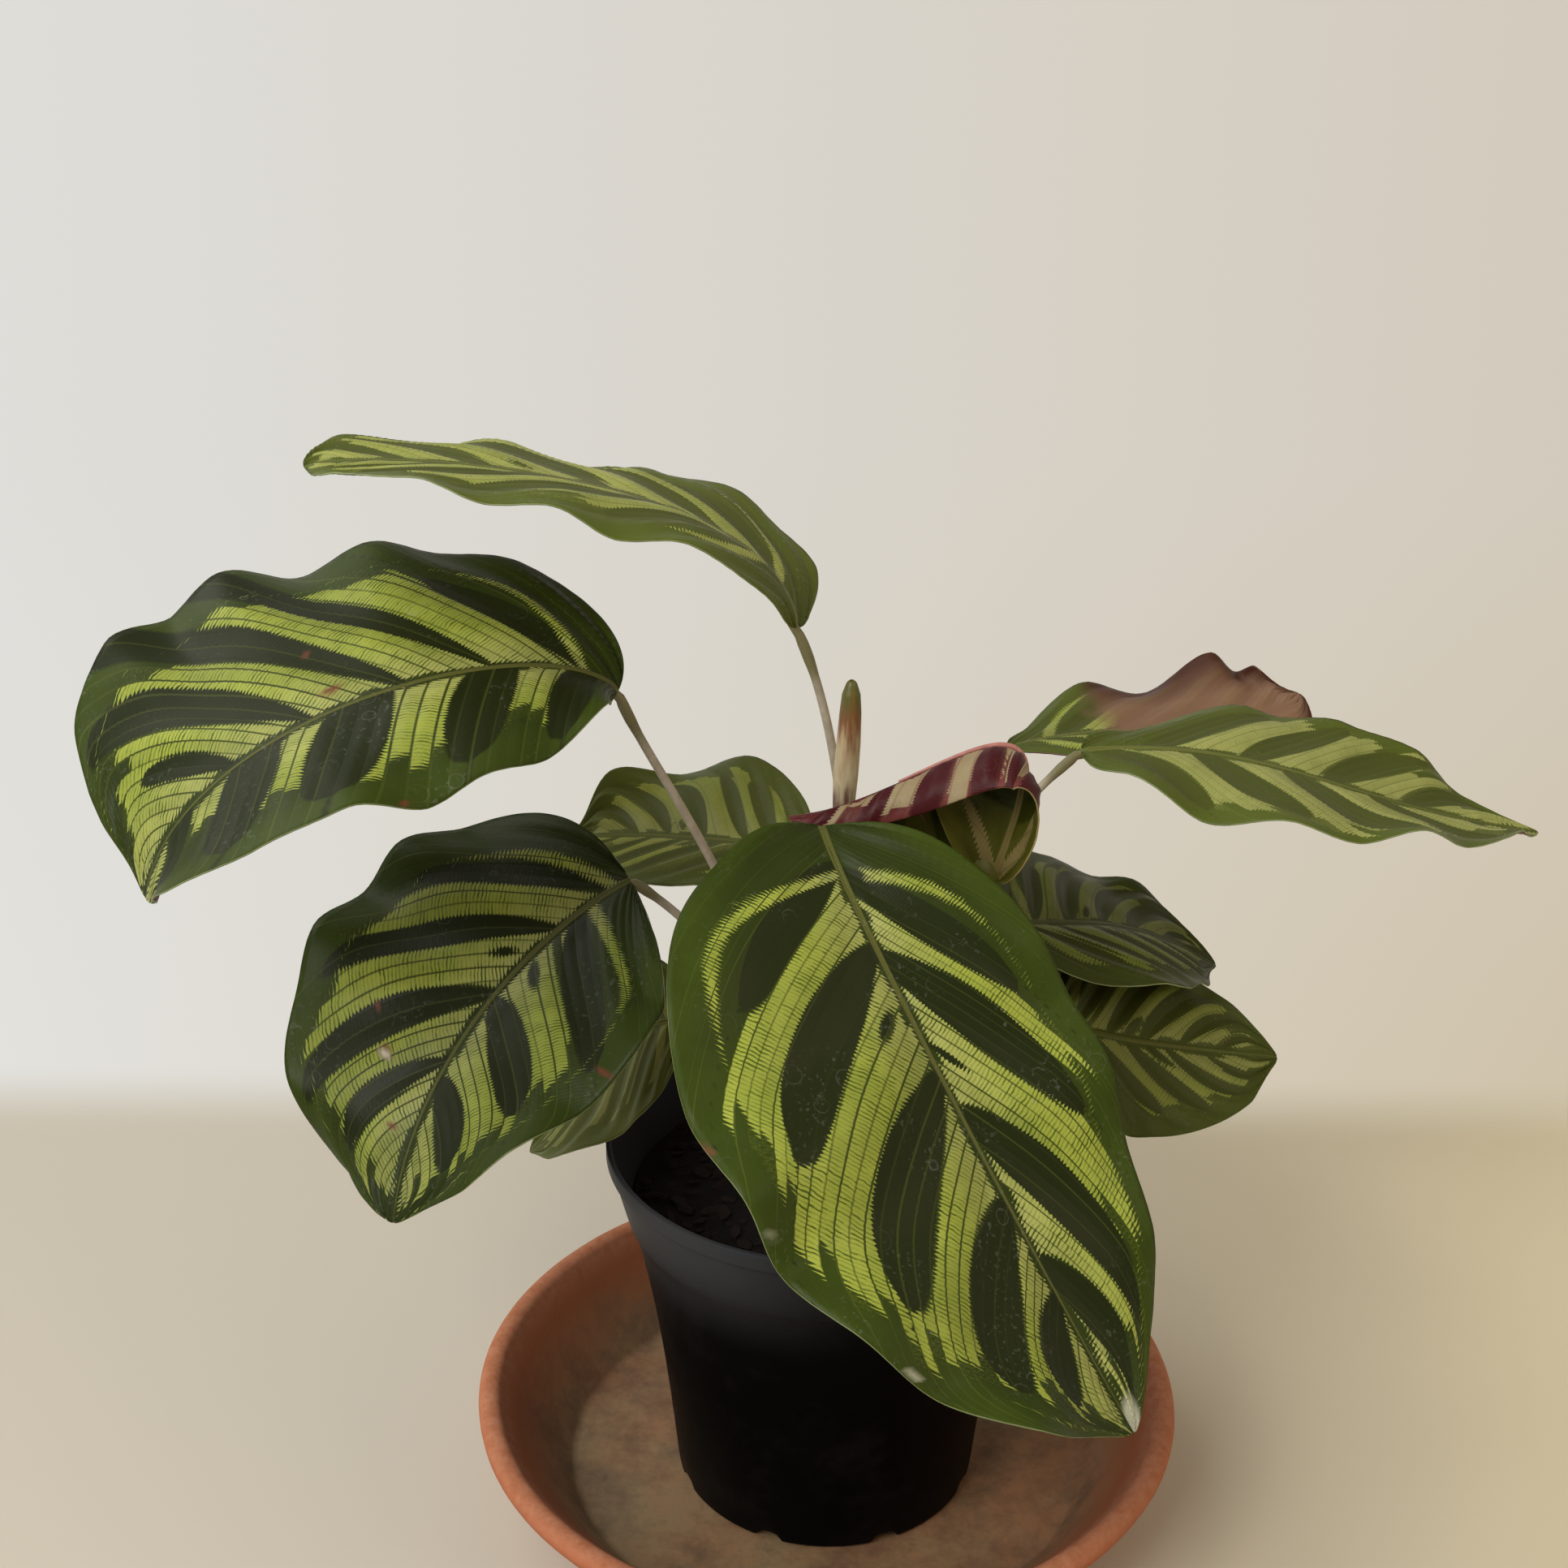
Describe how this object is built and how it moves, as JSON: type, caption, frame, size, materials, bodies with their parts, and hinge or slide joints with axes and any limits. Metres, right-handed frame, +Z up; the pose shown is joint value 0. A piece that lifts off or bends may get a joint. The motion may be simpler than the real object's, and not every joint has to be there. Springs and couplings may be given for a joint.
{
  "type": "potted peacock plant",
  "caption": "Small peacock plant with broad patterned leaves on thin stalks, in a black plastic nursery pot on a clay saucer.",
  "frame": {"origin": "centre of the saucer's underside, on the surface it stands on", "axes": "+Z up, -Y towards the side the plant is seen from, +X to the right from there"},
  "size_m": [0.3381, 0.2197, 0.2677],
  "materials": {
    "terracotta": "unglazed fired clay, water-stained inside",
    "pot_plastic": "thin black polypropylene, faint sheen",
    "soil": "damp potting soil with bark",
    "leaf": "satin leaf, lime bands and dark ovals above, wine red below",
    "old_leaf": "ageing leaf, drying brown",
    "new_leaf": "young rolled leaf, wine red and cream outside",
    "spear": "furled young leaf, olive, cream and wine red"
  },
  "bodies": {
    "root": {"saucer": "terracotta", "pot": "pot_plastic", "soil": "soil", "leaf_front": "leaf", "leaf_left_high": "leaf", "leaf_left_low": "leaf", "leaf_top": "leaf", "leaf_right": "leaf", "leaf_right_low": "leaf", "leaf_right_under": "leaf", "leaf_back": "leaf", "leaf_left_under": "leaf", "leaf_right_far": "old_leaf", "leaf_new": "new_leaf", "leaf_spear": "spear"}
  },
  "joints": []
}
